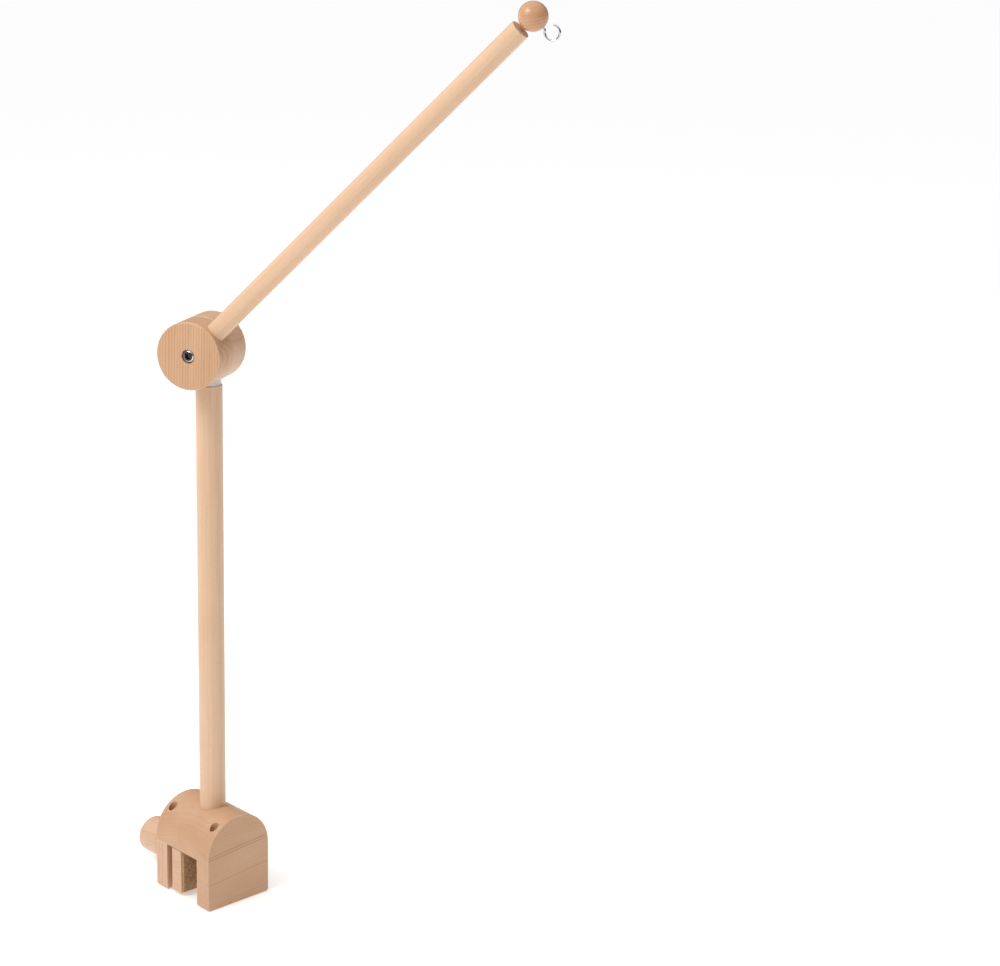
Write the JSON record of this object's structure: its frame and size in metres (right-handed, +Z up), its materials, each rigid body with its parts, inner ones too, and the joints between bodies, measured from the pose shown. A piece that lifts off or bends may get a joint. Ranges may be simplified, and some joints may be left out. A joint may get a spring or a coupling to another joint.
{
  "type": "crib mobile arm",
  "caption": "Wooden holder for a crib mobile: a screw clamp for the rail, an upright post, a friction knuckle, a tilting arm and an open hook at its end.",
  "frame": {"origin": "on the post's axis, in the ceiling of the clamp's slot, where the saddle sits on the crib rail", "axes": "+Z up the post, +X across the rail into the crib, +Y along the rail"},
  "size_m": [0.4152, 0.1807, 0.8756],
  "materials": {
    "beech_block": "fine-sanded beech, satin oil, grain along the rail",
    "beech_jaw": "fine-sanded beech, satin oil, ring lines across the face",
    "beech_round": "turned beech, satin oil, grain along the bar",
    "beech_disc": "turned beech, satin oil, upright grain on the face",
    "beech_turned": "turned beech, satin oil",
    "cork": "pressed cork facing",
    "zinc_steel": "bright zinc-plated steel",
    "polished_steel": "chrome-plated steel",
    "clear_plastic": "translucent milky plastic",
    "fibre": "dark fibre"
  },
  "bodies": {
    "rail_clamp": {"saddle_block": "beech_block", "front_jaw": "beech_jaw", "rear_jaw": "beech_jaw", "jaw_screws": "zinc_steel", "screw_insert": "zinc_steel", "front_jaw_pad": "cork", "post": "beech_round", "post_screw": "zinc_steel", "post_insert": "zinc_steel"},
    "slide_shoe": {"pressure_shoe": "beech_block", "pressure_pad": "cork", "thrust_plate": "zinc_steel", "thrust_plate_screws": "zinc_steel"},
    "knob_screw": {"clamp_screw": "zinc_steel", "screw_clip": "zinc_steel", "clamp_knob": "beech_turned", "knob_insert": "zinc_steel", "knob_pin": "zinc_steel"},
    "swivel_head": {"saddle_washer": "clear_plastic", "rear_disc": "beech_disc", "swivel_stud": "zinc_steel", "friction_ring": "fibre", "knuckle_nut": "zinc_steel"},
    "tilt_arm": {"front_disc": "beech_disc", "knuckle_bolt": "polished_steel", "bolt_washer": "zinc_steel", "arm_rod": "beech_round", "arm_stud": "zinc_steel", "ball_finial": "beech_turned", "ball_dowel": "beech_round", "hook": "polished_steel"}
  },
  "joints": [
    {"name": "shoe_slide", "type": "slide", "parent": "rail_clamp", "child": "slide_shoe", "axis": [1, 0, 0], "range_m": [-0.006, 0.02]},
    {"name": "knob_spin", "type": "hinge", "parent": "slide_shoe", "child": "knob_screw", "pos_m": [-0.07, 0, -0.024], "axis": [1, 0, 0], "range_deg": [-1728, 5760]},
    {"name": "post_swivel", "type": "hinge", "parent": "rail_clamp", "child": "swivel_head", "pos_m": [0, 0, 0.46], "axis": [0, 0, 1], "range_deg": [-116.8, 63.2]},
    {"name": "arm_tilt", "type": "hinge", "parent": "swivel_head", "child": "tilt_arm", "pos_m": [0, 0, 0.495], "axis": [0.4509, -0.8926, 0], "range_deg": [-120, 44.6]}
  ],
  "couplings": [
    {"joint": "knob_spin", "follows": "shoe_slide", "rad_per_m": 5026.5}
  ]
}
